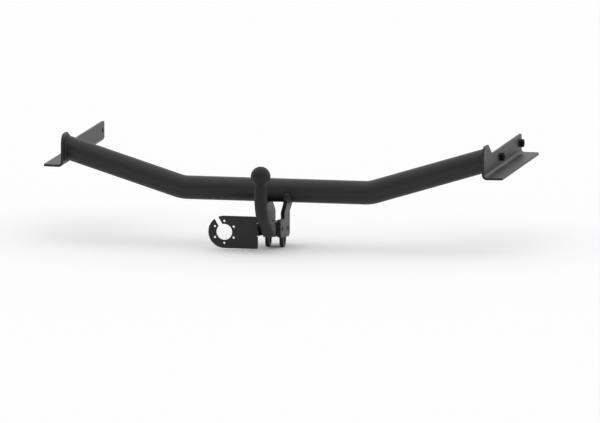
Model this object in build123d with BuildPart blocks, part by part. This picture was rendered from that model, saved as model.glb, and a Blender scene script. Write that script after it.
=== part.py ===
from build123d import *
import os
from math import cos, degrees, radians, sin, sqrt, tan

# Fixed swan neck towbar that bolts under the rear of a car. All sizes are in millimetres.
# The origin is the centre of the coupling ball. +X is the car's right hand side,
# +Y points to the front of the car and +Z is up.

os.makedirs("parts", exist_ok=True)

# Coupling ball, and the cross tube's place ahead of it and below it
ball_diameter = 50.0
reach = 189.0
ball_rise = 61.5

# Cross tube: a straight middle and two legs that rise to the end brackets
tube_diameter = 60.0
tube_wall = 4.0
tube_middle = 485.0
bracket_span = 1082.0
leg_angle = 17.2
tube_bend_radius = 90.0

# End brackets of bent plate, measured from the tube's axis and from the end of its leg
bracket_thickness = 6.0
bracket_inner_bend = 7.0
bracket_behind = 56.0
bracket_ahead = 419.0
foot_drop = 43.0
foot_width = 52.0
foot_setback = 6.0
foot_corner = 10.0
flange_height = 53.0
flange_corner = 8.0
ear_height = 83.0
ear_toe_ahead = 49.0
ear_rear_corner = 26.0
ear_front_corner = 13.0
ear_valley_corner = 5.0

# Fixing screws of the end brackets, and the hexagon nuts welded on behind their holes
screw_diameter = 12.0
screw_play = 1.0
screw_rise = 31.0
rear_screw_ahead = 150.0
screw_spacing = 248.0
nut_across_flats = 18.0
nut_height = 10.0
nut_bore = 10.2
nut_chamfer = 0.8

# Short straight that is left between two roundings which would otherwise meet
least_straight = 0.02

# Neck bolts, placed from the cross tube's axis, and the washers under their heads
bolt_diameter = 12.0
bolt_play = 1.0
bolt_back = 40.0
bolt_drop = 94.0
bolt_spacing = 68.4
coupling_tilt = 5.9
head_across_flats = 18.0
head_height = 7.5
head_chamfer = 0.8
washer_diameter = 24.0
washer_thickness = 2.5
spring_washer_diameter = 21.0
spring_washer_thickness = 3.0
spring_washer_split = 2.0
bolt_end_inset = 2.0
bolt_end_chamfer = 1.2
thread_gap = 0.1
thread_countersink = 2.0

# Swan neck: an upright run, a slope and a flat sided tongue between the cheek plates
neck_top_diameter = 29.0
neck_diameter = 32.0
neck_flat = 1.5
elbow_depth = 94.0
slope_angle = 31.0
elbow_radius = 78.0
heel_radius = 40.0
heel_width = 33.0
tongue_thickness = 27.0
tongue_height = 38.0
tongue_corner = 5.0
tongue_start_behind = 64.0
tongue_end = 20.0
full_width_share = 0.62
swell_share = 0.82
swell_corner = 14.0
neck_steps = 18

# Cheek plates: a tilted lower lobe, an arm that leans outwards and two horns under the tube.
# The right arm has a waist, the left arm is wide all the way down.
cheek_thickness = 10.0
cheek_bend_drop = 58.0
cheek_lean = 18.5
cheek_bend_radius = 20.0
lobe_behind = 59.0
lobe_ahead = 51.0
lobe_above = 25.0
lobe_below = 21.0
arm_foot_behind = 10.0
arm_top_behind = 28.0
arm_top_drop = 27.0
left_arm_behind = 36.0
horn_behind = 42.0
horn_drop = 2.0
horn_root_drop = 20.0
saddle_gap = 0.3
lobe_corner = 8.0
lobe_bottom_corner = 13.0
cheek_inner_corner = 5.0
horn_corner = 3.0

# Safety chain eyes under the cheek plates
eye_behind = 12.0
eye_drop = 125.0
eye_diameter = 18.0
eye_wall = 9.0

# Socket plate: the socket's hole, its cable slot and its ring of screw holes, and the tab
socket_thickness = 3.0
socket_back = 100.0
socket_side = 113.3
socket_drop = 96.0
socket_radius = 41.2
socket_hole = 40.6
socket_ring = 56.0
socket_screws = 6
socket_screw_hole = 5.5
socket_slot_width = 11.0
socket_slot_angle = 30.0
socket_corner = 3.0
tab_width = 32.0
tab_end = 15.0
tab_corner = 12.0
tab_bend = 3.0
tab_relief = 1.0

# Weld beads: along the tube's ends, and along the saddles of the cheek plates
end_bead = 4.0
saddle_bead = 4.0
saddle_bead_stop = 7.0

# Values that follow from the sizes above
tube_radius = tube_diameter / 2
tube_z = -ball_rise
leg_end_z = tube_z + (bracket_span - tube_middle) / 2 * tan(radians(leg_angle))
bracket_inner_x = bracket_span / 2
bracket_outer_x = bracket_inner_x + bracket_thickness
foot_edge_x = bracket_inner_x + foot_width
foot_z = leg_end_z - foot_drop
flange_z = foot_z + flange_height
ear_z = foot_z + ear_height
screw_z = foot_z + screw_rise
bracket_rear_y = reach - bracket_behind
bracket_front_y = reach + bracket_ahead
screw_hole_radius = (screw_diameter + screw_play) / 2
tilt = radians(coupling_tilt)
lean = radians(cheek_lean)
slope = radians(slope_angle)
rear_bolt_y = reach - bolt_back
rear_bolt_z = tube_z - bolt_drop
bolt_hole_radius = (bolt_diameter + bolt_play) / 2
cheek_inner_x = tongue_thickness / 2
cheek_outer_x = cheek_inner_x + cheek_thickness
cheek_middle_x = cheek_inner_x + cheek_thickness / 2
tab_outer_x = cheek_outer_x + socket_thickness
washer_x = tab_outer_x + washer_thickness
head_x = washer_x + spring_washer_thickness
bolt_length = head_x + cheek_outer_x - bolt_end_inset


def bolt_line_z(y):
    """Height of the line through the two neck bolts at the place y."""
    return rear_bolt_z - (y - rear_bolt_y) * tan(tilt)


# Plane of the neck bolts: its x axis runs forward through both bolts, its normal is +X
bolt_plane = Plane(
    origin=(0, rear_bolt_y, rear_bolt_z),
    x_dir=(0, cos(tilt), -sin(tilt)),
    z_dir=(1, 0, 0),
)
bolt_places = [(0, 0), (bolt_spacing, 0)]

# Cross tube, bent in one plane and cut flat where the brackets close its ends
tube_plane = Plane(origin=(0, reach, tube_z), x_dir=(1, 0, 0), z_dir=(0, -1, 0))
leg_overrun = tube_diameter * tan(radians(leg_angle))
path_end_x = bracket_inner_x + leg_overrun
path_end_z = (path_end_x - tube_middle / 2) * tan(radians(leg_angle))
with BuildPart() as crossbar_tube:
    with BuildLine(tube_plane) as tube_line:
        FilletPolyline(
            (-path_end_x, path_end_z),
            (-tube_middle / 2, 0),
            (tube_middle / 2, 0),
            (path_end_x, path_end_z),
            radius=tube_bend_radius,
        )
    with BuildSketch(Plane(origin=tube_line.line @ 0, z_dir=tube_line.line % 0)):
        Circle(tube_radius)
        Circle(tube_radius - tube_wall, mode=Mode.SUBTRACT)
    sweep()
    split(bisect_by=Plane.YZ.offset(bracket_inner_x), keep=Keep.BOTTOM)
    split(bisect_by=Plane.YZ.offset(-bracket_inner_x), keep=Keep.TOP)
crossbar_tube.part.label = "crossbar_tube"
export_step(crossbar_tube.part, "parts/crossbar_tube.step")

# Right end bracket: an angle of bent plate, trimmed to the ear, the flange and the foot
with BuildPart() as right_end_bracket:
    with BuildSketch(Plane.XZ.offset(-bracket_front_y)):
        with BuildLine():
            FilletPolyline(
                (bracket_inner_x, ear_z),
                (bracket_inner_x, foot_z),
                (foot_edge_x, foot_z),
                (foot_edge_x, foot_z + bracket_thickness),
                (bracket_outer_x, foot_z + bracket_thickness),
                (bracket_outer_x, ear_z),
                radius=[0, bracket_inner_bend + bracket_thickness, 0, 0, bracket_inner_bend, 0],
                close=True,
            )
        make_face()
    extrude(amount=bracket_behind + bracket_ahead)
    with BuildSketch(Plane.YZ):
        with BuildLine():
            FilletPolyline(
                (bracket_rear_y, foot_z),
                (bracket_rear_y, ear_z),
                (reach, ear_z),
                (reach + ear_toe_ahead, flange_z),
                (bracket_front_y, flange_z),
                (bracket_front_y, foot_z),
                radius=[0, ear_rear_corner, ear_front_corner, ear_valley_corner, flange_corner, 0],
                close=True,
            )
        make_face()
    extrude(amount=foot_edge_x, mode=Mode.INTERSECT)
    with BuildSketch(Plane.XY.offset(foot_z)):
        with BuildLine():
            FilletPolyline(
                (bracket_inner_x, bracket_rear_y),
                (bracket_outer_x, bracket_rear_y),
                (foot_edge_x, bracket_rear_y + foot_setback),
                (foot_edge_x, bracket_front_y),
                (bracket_inner_x, bracket_front_y),
                radius=[0, 0, foot_corner / 2, foot_corner, 0],
                close=True,
            )
        make_face()
    extrude(amount=ear_height, mode=Mode.INTERSECT)
    with BuildSketch(Plane.YZ.offset(bracket_inner_x)):
        with Locations((reach + rear_screw_ahead, screw_z)):
            with GridLocations(screw_spacing, 0, 2, 1, align=(Align.MIN, Align.CENTER)):
                Circle(screw_hole_radius)
    extrude(amount=bracket_thickness, mode=Mode.SUBTRACT)
right_end_bracket.part.label = "right_end_bracket"
export_step(right_end_bracket.part, "parts/right_end_bracket.step")

# Left end bracket, the right one's mirror image
with BuildPart() as left_end_bracket:
    mirror(right_end_bracket.part, about=Plane.YZ)
left_end_bracket.part.label = "left_end_bracket"
export_step(left_end_bracket.part, "parts/left_end_bracket.step")

# Weld nuts on the outer faces of the brackets, two a side
with BuildPart() as nut_turning:
    Cylinder(nut_across_flats / sqrt(3), nut_height, align=(Align.CENTER, Align.CENTER, Align.MIN))
    chamfer(nut_turning.edges().filter_by(GeomType.CIRCLE), nut_chamfer, 2 * nut_chamfer)
nut_places = (("rear", rear_screw_ahead), ("front", rear_screw_ahead + screw_spacing))
for side, out in (("left", -1), ("right", 1)):
    for place, ahead in nut_places:
        seat = Plane(
            origin=(out * bracket_outer_x, reach + ahead, screw_z),
            x_dir=(0, 0, 1),
            z_dir=(out, 0, 0),
        )
        with BuildPart(seat) as weld_nut:
            with BuildSketch(seat):
                RegularPolygon(nut_across_flats / 2, 6, major_radius=False)
                Circle(nut_bore / 2, mode=Mode.SUBTRACT)
            extrude(amount=nut_height)
            with Locations((0, 0, 0)):
                add(nut_turning.part, mode=Mode.INTERSECT)
        node = f"{side}_{place}_weld_nut"
        weld_nut.part.label = node
        export_step(weld_nut.part, f"parts/{node}.step")

# Swan neck centre line: upright, sloping forward, then on the line of the two bolts
heel_y = (bolt_line_z(0) + elbow_depth) / (tan(tilt) - tan(slope))
tongue_start_y = reach - tongue_start_behind
neck_start_depth = ball_diameter / 4
with BuildLine(Plane.YZ) as neck_line:
    FilletPolyline(
        (0, -neck_start_depth),
        (0, -elbow_depth),
        (heel_y, bolt_line_z(heel_y)),
        (tongue_start_y, bolt_line_z(tongue_start_y)),
        radius=[elbow_radius, heel_radius],
    )
neck_wire = neck_line.wires()[0]
upright_length = elbow_depth - neck_start_depth - elbow_radius * tan((radians(90) - slope) / 2)
upright_share = upright_length / neck_wire.length

# Marks along the neck: share of its length, width, height and corner radius. The upper
# ones are round but for a short flat on each side, the next is the swell ahead of the heel,
# and the last is the tongue's section.
neck_marks = (
    (0, neck_top_diameter, neck_top_diameter, (neck_top_diameter - neck_flat) / 2),
    (upright_share / 2, neck_diameter, neck_diameter, (neck_diameter - neck_flat) / 2),
    (upright_share, neck_diameter, neck_diameter, (neck_diameter - neck_flat) / 2),
    (full_width_share, heel_width, heel_width, (heel_width - neck_flat) / 2),
    (swell_share, heel_width, tongue_height, swell_corner),
    (1, tongue_thickness, tongue_height, tongue_corner),
)


def neck_section(share):
    """Width, height and corner radius of the neck at a share of its length."""
    for before, after in zip(neck_marks, neck_marks[1:]):
        if share <= after[0]:
            break
    blend = (share - before[0]) / (after[0] - before[0])
    blend = blend * blend * (3 - 2 * blend)
    return [low + (high - low) * blend for low, high in zip(before[1:], after[1:])]


with BuildPart() as ball_neck:
    for step in range(neck_steps + 1):
        share = step / neck_steps
        width, height, corner = neck_section(share)
        with BuildSketch(Plane(origin=neck_wire @ share, x_dir=(1, 0, 0), z_dir=neck_wire % share)):
            RectangleRounded(width, height, corner)
    loft()
    with BuildSketch(Plane(origin=neck_wire @ 1, x_dir=(1, 0, 0), z_dir=neck_wire % 1)):
        RectangleRounded(tongue_thickness, tongue_height, tongue_corner)
    extrude(amount=(rear_bolt_y - tongue_start_y) / cos(tilt) + bolt_spacing + tongue_end)
    with BuildSketch(bolt_plane):
        with Locations(bolt_places):
            Circle(bolt_hole_radius)
    extrude(amount=tongue_thickness, both=True, mode=Mode.SUBTRACT)
    Sphere(ball_diameter / 2)
ball_neck.part.label = "ball_neck"
export_step(ball_neck.part, "parts/ball_neck.step")

# Cheek plates: a strip bent outwards, trimmed to its side view and cut to seat the tube
lobe_rear_y = reach - lobe_behind
lobe_front_y = reach + lobe_ahead
arm_foot_y = reach - arm_foot_behind
arm_top_y = reach - arm_top_behind
horn_y = reach - horn_behind
horn_z = tube_z - horn_drop
eye_radius = eye_diameter / 2 + eye_wall
eye_y = reach - eye_behind
eye_z = tube_z - eye_drop
eye_rear_y = eye_y - eye_radius
eye_front_y = eye_y + eye_radius
eye_corner = eye_radius - least_straight / 2
strip_low_z = eye_z - 2 * eye_radius
strip_high_z = horn_z + cheek_thickness
cheek_bend_z = tube_z - cheek_bend_drop


def cheek_blank(top_y, foot_y):
    """Bent cheek plate on the right, its arm's rear edge from the place top_y to foot_y."""
    with BuildPart() as blank:
        with BuildLine(Plane.XZ):
            FilletPolyline(
                (cheek_middle_x, strip_low_z),
                (cheek_middle_x, cheek_bend_z),
                (cheek_middle_x + (strip_high_z - cheek_bend_z) * tan(lean), strip_high_z),
                radius=cheek_bend_radius,
            )
        with BuildSketch(Plane.XY.offset(strip_low_z)):
            with Locations((cheek_middle_x, (lobe_rear_y + lobe_front_y) / 2)):
                Rectangle(cheek_thickness, lobe_behind + lobe_ahead + cheek_thickness)
        sweep()
        with BuildSketch(Plane.YZ):
            with BuildLine():
                FilletPolyline(
                    (horn_y, horn_z),
                    (horn_y, tube_z - horn_root_drop),
                    (top_y, tube_z - arm_top_drop),
                    (foot_y, bolt_line_z(foot_y) + lobe_above),
                    (lobe_rear_y, bolt_line_z(lobe_rear_y) + lobe_above),
                    (lobe_rear_y, bolt_line_z(lobe_rear_y) - lobe_below),
                    (eye_rear_y, bolt_line_z(eye_rear_y) - lobe_below),
                    (eye_rear_y, eye_z - eye_radius),
                    (eye_front_y, eye_z - eye_radius),
                    (eye_front_y, bolt_line_z(eye_front_y) - lobe_below),
                    (lobe_front_y, bolt_line_z(lobe_front_y) - lobe_below),
                    (lobe_front_y, horn_z),
                    radius=[
                        horn_corner,
                        horn_corner,
                        cheek_inner_corner,
                        cheek_inner_corner,
                        lobe_corner,
                        lobe_bottom_corner,
                        cheek_inner_corner,
                        eye_corner,
                        eye_corner,
                        cheek_inner_corner,
                        lobe_bottom_corner,
                        horn_corner,
                    ],
                    close=True,
                )
            make_face()
            with Locations((reach, tube_z)):
                Circle(tube_radius + saddle_gap, mode=Mode.SUBTRACT)
            with Locations((eye_y, eye_z)):
                Circle(eye_diameter / 2, mode=Mode.SUBTRACT)
        extrude(amount=bracket_inner_x, mode=Mode.INTERSECT)
    return blank.part


# Right cheek plate, with the threaded holes of the neck bolts
with BuildPart() as right_cheek_plate:
    add(cheek_blank(arm_top_y, arm_foot_y))
    with BuildSketch(bolt_plane.offset(cheek_inner_x)):
        with Locations(bolt_places):
            Circle(bolt_diameter / 2 + thread_gap)
    extrude(amount=cheek_thickness, mode=Mode.SUBTRACT)
    hole_edges = right_cheek_plate.edges(Select.LAST).filter_by(GeomType.CIRCLE)
    chamfer(hole_edges.group_by(Axis.X)[-1], thread_countersink)
right_cheek_plate.part.label = "right_cheek_plate"
export_step(right_cheek_plate.part, "parts/right_cheek_plate.step")

# Left cheek plate, the mirror image but for its wide arm, with clearance holes
with BuildPart() as left_cheek_plate:
    mirror(cheek_blank(reach - left_arm_behind, reach - left_arm_behind), about=Plane.YZ)
    with BuildSketch(bolt_plane.offset(-cheek_outer_x)):
        with Locations(bolt_places):
            Circle(bolt_hole_radius)
    extrude(amount=cheek_thickness, mode=Mode.SUBTRACT)
left_cheek_plate.part.label = "left_cheek_plate"
export_step(left_cheek_plate.part, "parts/left_cheek_plate.step")

# Neck bolts with their washers, pushed in from the left through tab, cheek and tongue
with BuildPart() as head_turning:
    Cylinder(head_across_flats / sqrt(3), head_height, align=(Align.CENTER, Align.CENTER, Align.MIN))
    top_rim = head_turning.edges().filter_by(GeomType.CIRCLE).sort_by(Axis.Z)[-1]
    chamfer(top_rim, head_chamfer, 2 * head_chamfer)
for place, ahead in (("rear", 0), ("front", bolt_spacing)):
    bolt_centre = bolt_plane.from_local_coords(Vector(ahead, 0, 0))
    for_head = Plane(
        origin=bolt_centre - Vector(head_x, 0, 0), x_dir=(0, 0, 1), z_dir=(-1, 0, 0)
    )
    with BuildPart(for_head) as neck_bolt:
        with BuildSketch(for_head):
            RegularPolygon(head_across_flats / 2, 6, major_radius=False)
        extrude(amount=head_height)
        with Locations((0, 0, 0)):
            add(head_turning.part, mode=Mode.INTERSECT)
        with BuildSketch(for_head):
            Circle(bolt_diameter / 2)
        extrude(amount=-bolt_length)
        chamfer(neck_bolt.faces().sort_by(Axis.X)[-1].edges(), bolt_end_chamfer)
    neck_bolt.part.label = f"{place}_neck_bolt"
    export_step(neck_bolt.part, f"parts/{place}_neck_bolt.step")

    for_washer = Plane(
        origin=bolt_centre - Vector(tab_outer_x, 0, 0), x_dir=(0, 0, 1), z_dir=(-1, 0, 0)
    )
    with BuildPart() as plain_washer:
        with BuildSketch(for_washer):
            Circle(washer_diameter / 2)
            Circle(bolt_hole_radius, mode=Mode.SUBTRACT)
        extrude(amount=washer_thickness)
    plain_washer.part.label = f"{place}_plain_washer"
    export_step(plain_washer.part, f"parts/{place}_plain_washer.step")

    for_spring = Plane(
        origin=bolt_centre - Vector(washer_x, 0, 0), x_dir=(0, 0, 1), z_dir=(-1, 0, 0)
    )
    with BuildPart() as spring_washer:
        with BuildSketch(for_spring):
            Circle(spring_washer_diameter / 2)
            Circle(bolt_diameter / 2 + thread_gap, mode=Mode.SUBTRACT)
            with Locations((0, spring_washer_diameter / 2)):
                Rectangle(spring_washer_split, spring_washer_diameter, mode=Mode.SUBTRACT)
        extrude(amount=spring_washer_thickness)
    spring_washer.part.label = f"{place}_spring_washer"
    export_step(spring_washer.part, f"parts/{place}_spring_washer.step")

# Socket plate: a tab bent forward under the bolt heads, and the flat plate for the socket
plate_rear_y = reach - socket_back - socket_thickness / 2
plate_front_y = plate_rear_y + socket_thickness
socket_z = tube_z - socket_drop
tab_root_x = tab_outer_x + tab_bend
tab_root_z = bolt_line_z(plate_front_y)
tab_end_u = bolt_spacing + tab_end
tab_inner_bend = tab_bend - least_straight / 2
with BuildPart() as socket_plate:
    with BuildSketch(Plane.XY.offset(rear_bolt_z - 2 * tab_width)):
        with BuildLine():
            FilletPolyline(
                (-tab_root_x, plate_rear_y),
                (-cheek_outer_x, plate_rear_y),
                (-cheek_outer_x, lobe_front_y + tab_width),
                (-tab_outer_x, lobe_front_y + tab_width),
                (-tab_outer_x, plate_front_y),
                (-tab_root_x, plate_front_y),
                radius=[0, tab_inner_bend + socket_thickness, 0, 0, tab_inner_bend, 0],
                close=True,
            )
        make_face()
    extrude(amount=4 * tab_width)
    with BuildSketch(bolt_plane):
        with BuildLine():
            FilletPolyline(
                (-socket_back, -tab_width / 2),
                (tab_end_u, -tab_width / 2),
                (tab_end_u, tab_width / 2),
                (-socket_back, tab_width / 2),
                radius=[0, tab_corner, tab_corner, 0],
                close=True,
            )
        make_face()
        with Locations(bolt_places):
            Circle(bolt_hole_radius, mode=Mode.SUBTRACT)
    extrude(amount=-2 * tab_root_x, mode=Mode.INTERSECT)
    with BuildSketch(Plane.XZ.offset(-plate_front_y)) as socket_face:
        with Locations((-socket_side, socket_z)):
            Rectangle(socket_side - tab_outer_x, 2 * socket_radius, align=(Align.MIN, Align.CENTER))
        fillet(socket_face.vertices().group_by(Axis.X)[-1], socket_corner)
        with Locations((-tab_root_x, tab_root_z)):
            Rectangle(
                2 * tab_bend,
                tab_width + 2 * tab_relief,
                align=(Align.MIN, Align.CENTER),
                mode=Mode.SUBTRACT,
            )
            Rectangle(tab_bend, tab_width - tab_relief, align=(Align.MAX, Align.CENTER))
        with Locations((-socket_side, socket_z)):
            Circle(socket_radius)
            Circle(socket_hole / 2, mode=Mode.SUBTRACT)
            Rectangle(
                socket_slot_width,
                2 * socket_radius,
                rotation=socket_slot_angle,
                align=(Align.CENTER, Align.MIN),
                mode=Mode.SUBTRACT,
            )
            with PolarLocations(socket_ring / 2, socket_screws, start_angle=90):
                Circle(socket_screw_hole / 2, mode=Mode.SUBTRACT)
    extrude(amount=socket_thickness)
socket_plate.part.label = "socket_plate"
export_step(socket_plate.part, "parts/socket_plate.step")

# Weld beads around the two ends of the cross tube, against the brackets
leg = radians(leg_angle)
end_plane = Plane(origin=(bracket_inner_x, reach, leg_end_z), x_dir=(0, 1, 0), z_dir=(1, 0, 0))
with BuildPart() as right_end_weld:
    with BuildLine(end_plane) as end_ring:
        EllipticalCenterArc((0, 0), tube_radius, tube_radius / cos(leg), arc_size=360)
    with BuildSketch(Plane(origin=end_ring.line @ 0, x_dir=(1, 0, 0), z_dir=end_ring.line % 0)):
        Circle(end_bead)
    sweep()
    split(bisect_by=Plane.YZ.offset(bracket_inner_x), keep=Keep.BOTTOM)
    with BuildSketch(Plane(origin=end_plane.origin, z_dir=(cos(leg), 0, sin(leg)))):
        Circle(tube_radius)
    extrude(amount=tube_diameter, both=True, mode=Mode.SUBTRACT)
right_end_weld.part.label = "right_end_weld"
export_step(right_end_weld.part, "parts/right_end_weld.step")

with BuildPart() as left_end_weld:
    mirror(right_end_weld.part, about=Plane.YZ)
left_end_weld.part.label = "left_end_weld"
export_step(left_end_weld.part, "parts/left_end_weld.step")

# Weld beads along both faces of each cheek plate's saddle, stopping short of its horns
saddle_x = cheek_middle_x + cheek_bend_drop * tan(lean)
face_shift = cheek_thickness / 2 / cos(lean)
stop_angle = degrees((horn_drop + saddle_bead_stop) / tube_radius)
for place, away in (("outer", 1), ("inner", -1)):
    face_plane = Plane(
        origin=(saddle_x + away * face_shift, reach, tube_z),
        x_dir=(0, away, 0),
        z_dir=(away * cos(lean), 0, -away * sin(lean)),
    )
    with BuildPart() as saddle_weld:
        with BuildLine(face_plane) as saddle_line:
            EllipticalCenterArc(
                (0, 0),
                tube_radius,
                tube_radius / cos(lean),
                start_angle=stop_angle - 180,
                arc_size=180 - 2 * stop_angle,
            )
        with BuildSketch(Plane(origin=saddle_line.line @ 0, z_dir=saddle_line.line % 0)):
            Circle(saddle_bead)
        sweep()
        split(bisect_by=face_plane, keep=Keep.TOP)
        with BuildSketch(Plane.YZ):
            with Locations((reach, tube_z)):
                Circle(tube_radius)
        extrude(amount=bracket_inner_x, mode=Mode.SUBTRACT)
    saddle_weld.part.label = f"right_cheek_{place}_weld"
    export_step(saddle_weld.part, f"parts/right_cheek_{place}_weld.step")

    with BuildPart() as mirrored_weld:
        mirror(saddle_weld.part, about=Plane.YZ)
    mirrored_weld.part.label = f"left_cheek_{place}_weld"
    export_step(mirrored_weld.part, f"parts/left_cheek_{place}_weld.step")
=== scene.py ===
"""Looks of a bolted swan neck towbar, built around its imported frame.

Lengths are in metres and angles in radians, in the frame's own axes: the origin is the
centre of the coupling ball, +X is the car's right hand side, +Y points to the front of the
car and +Z is up.
"""

import logging
from contextlib import contextmanager
from dataclasses import dataclass, field
from enum import Enum
from math import cos, pi, radians, sin, sqrt, tan
from typing import Any, Callable, Iterator, Sequence

import bmesh
import bpy
from mathutils import Matrix, Vector


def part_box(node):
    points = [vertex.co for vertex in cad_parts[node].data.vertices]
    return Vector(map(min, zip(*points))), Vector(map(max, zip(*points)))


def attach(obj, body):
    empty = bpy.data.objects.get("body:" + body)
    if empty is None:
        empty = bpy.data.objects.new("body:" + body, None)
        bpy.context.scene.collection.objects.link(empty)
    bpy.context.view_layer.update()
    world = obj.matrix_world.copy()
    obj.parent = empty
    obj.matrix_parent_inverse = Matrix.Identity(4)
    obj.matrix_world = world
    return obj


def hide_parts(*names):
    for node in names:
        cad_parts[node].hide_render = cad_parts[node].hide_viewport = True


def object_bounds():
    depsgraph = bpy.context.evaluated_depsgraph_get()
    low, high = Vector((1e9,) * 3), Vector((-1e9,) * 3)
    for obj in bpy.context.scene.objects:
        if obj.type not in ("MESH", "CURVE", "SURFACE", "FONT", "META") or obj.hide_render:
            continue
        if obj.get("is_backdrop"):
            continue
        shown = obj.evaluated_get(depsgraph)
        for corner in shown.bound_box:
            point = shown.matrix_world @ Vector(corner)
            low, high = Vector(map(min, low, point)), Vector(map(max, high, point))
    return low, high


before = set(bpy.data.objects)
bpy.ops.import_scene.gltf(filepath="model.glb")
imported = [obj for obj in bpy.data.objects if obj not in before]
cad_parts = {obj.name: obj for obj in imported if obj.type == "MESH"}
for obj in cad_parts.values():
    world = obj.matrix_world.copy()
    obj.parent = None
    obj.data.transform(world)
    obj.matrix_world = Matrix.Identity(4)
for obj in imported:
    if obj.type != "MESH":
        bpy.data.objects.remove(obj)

MM = 0.001
FULL_TURN = 2 * pi
QUARTER_TURN = pi / 2
SMOOTH_ANGLE = radians(32)
MERGE_DISTANCE = 0.002 * MM
# How far a cutter stands out past what it cuts.
OVERRUN = 0.2 * MM
# Corner radius of a round section as a share of its width, a hair under one half.
FULLY_ROUND = 0.4995
# Cosine above which a face counts as square to an axis.
SQUARE_ON = 0.9
# Sockets of a Mix node, whose inputs of different kinds share their names.
MIX_SHARE, MIX_COLOUR_A, MIX_COLOUR_B = 0, 6, 7
MIX_FLOAT_A, MIX_FLOAT_B = 2, 3
MIXED_FLOAT, MIXED_COLOUR = 0, 2
RIGHT = Vector((1, 0, 0))
FORWARD = Vector((0, 1, 0))
UP = Vector((0, 0, 1))
MIRRORED = Matrix.Scale(-1, 4, RIGHT)
log = logging.getLogger("towbar")


class Element(Enum):
    """Kind of mesh element that a selection is made of."""

    VERTICES = "VERT"
    EDGES = "EDGE"
    FACES = "FACE"


class Side(Enum):
    """Side of the car, as the sign of its X."""

    LEFT = -1
    RIGHT = 1

    @property
    def word(self) -> str:
        """The side's name in lower case, as in the names of pieces."""
        return self.name.lower()


class Place(Enum):
    """Place of one of two fasteners that stand in a row along the car."""

    REAR = "rear"
    FRONT = "front"


class Slot(Enum):
    """Material slots of the record that the pieces take their finish from."""

    TUBE = "powder_coated_tube"
    PLATE = "powder_coated_plate"
    FORGING = "powder_coated_forging"
    WELD = "powder_coated_weld"
    FASTENER = "black_phosphated_steel"


def focus(piece: bpy.types.Object) -> None:
    """Leaves one piece selected and active, and nothing else.

    Args:
        piece: the piece that the next operators act on.
    """
    bpy.ops.object.select_all(action="DESELECT")
    piece.select_set(True)
    bpy.context.view_layer.objects.active = piece


def start(primitive: Callable, name: str, **settings: Any) -> bpy.types.Object:
    """Adds a primitive as a new piece.

    Args:
        primitive: the operator that adds it.
        name: the piece's name.
        **settings: the operator's own settings, such as its size and place.

    Returns:
        The new object, which is the only one selected.
    """
    bpy.ops.object.select_all(action="DESELECT")
    primitive(**settings)
    piece = bpy.context.object
    piece.name = piece.data.name = name
    return piece


@contextmanager
def editing(piece: bpy.types.Object) -> Iterator[None]:
    """Edit mode on one piece, with nothing selected at first.

    Args:
        piece: the piece whose mesh is edited.

    Yields:
        Nothing, while the piece is in edit mode.
    """
    focus(piece)
    bpy.ops.object.mode_set(mode="EDIT")
    bpy.ops.mesh.select_mode(type=Element.VERTICES.value)
    bpy.ops.mesh.select_all(action="DESELECT")
    yield
    bpy.ops.object.mode_set(mode="OBJECT")


def pick(piece: bpy.types.Object, element: Element, test: Callable[[Any], bool]) -> None:
    """Selects what passes a test, and nothing else, in edit mode.

    Args:
        piece: the object in edit mode.
        element: which elements are tested.
        test: takes one element of the mesh and says whether it is selected.
    """
    bpy.ops.mesh.select_mode(type=element.value)
    bpy.ops.mesh.select_all(action="DESELECT")
    mesh = bmesh.from_edit_mesh(piece.data)
    groups = {Element.VERTICES: mesh.verts, Element.EDGES: mesh.edges, Element.FACES: mesh.faces}
    for item in groups[element]:
        if test(item):
            item.select_set(True)
    mesh.select_flush_mode()
    bmesh.update_edit_mesh(piece.data)


def edge_middle(edge: bmesh.types.BMEdge) -> Vector:
    """Middle of an edge."""
    return (edge.verts[0].co + edge.verts[1].co) / 2


def modify(piece: bpy.types.Object, kind: str, **settings: Any) -> None:
    """Adds a modifier to a piece and applies it.

    Args:
        piece: the piece that it changes.
        kind: the modifier's type.
        **settings: the modifier's own attributes.
    """
    focus(piece)
    modifier = piece.modifiers.new(kind, kind)
    for name, value in settings.items():
        setattr(modifier, name, value)
    bpy.ops.object.modifier_apply(modifier=modifier.name)


def combine(piece: bpy.types.Object, other: bpy.types.Object, operation: str) -> None:
    """Changes a piece by an exact boolean with another, which is then removed."""
    modify(piece, "BOOLEAN", operation=operation, object=other, solver="EXACT")
    bpy.data.objects.remove(other)


def settle(piece: bpy.types.Object, place: Matrix = Matrix.Identity(4)) -> bpy.types.Object:
    """Puts a piece in its place and works that place into its mesh.

    Args:
        piece: the piece, made about its own origin.
        place: where it goes in the frame.

    Returns:
        The same piece, its object at the origin, unturned and unscaled.
    """
    bpy.context.view_layer.update()
    piece.matrix_world = place @ piece.matrix_world
    focus(piece)
    bpy.ops.object.transform_apply(location=True, rotation=True, scale=True)
    return piece


def face_outwards(piece: bpy.types.Object) -> None:
    """Merges doubled vertices and turns every face outwards.

    Args:
        piece: a piece whose surface is closed.
    """
    with editing(piece):
        bpy.ops.mesh.select_all(action="SELECT")
        bpy.ops.mesh.remove_doubles(threshold=MERGE_DISTANCE)
        bpy.ops.mesh.normals_make_consistent(inside=False)


def twin(piece: bpy.types.Object, name: str, place: Matrix) -> bpy.types.Object:
    """Copies a piece with a mesh of its own.

    Args:
        piece: the piece that is copied.
        name: the copy's name.
        place: where the copy goes, from where the piece is. After a mirroring place the
            copy's faces are turned the right way out.

    Returns:
        The copy.
    """
    focus(piece)
    bpy.ops.object.duplicate()
    copy = bpy.context.object
    copy.name = copy.data.name = name
    settle(copy, place)
    if place.determinant() < 0:
        face_outwards(copy)
    return copy


def smooth(piece: bpy.types.Object, angle: float = SMOOTH_ANGLE) -> None:
    """Shades a piece smooth across edges that turn less than an angle."""
    focus(piece)
    bpy.ops.object.shade_smooth_by_angle(angle=angle)


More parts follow.
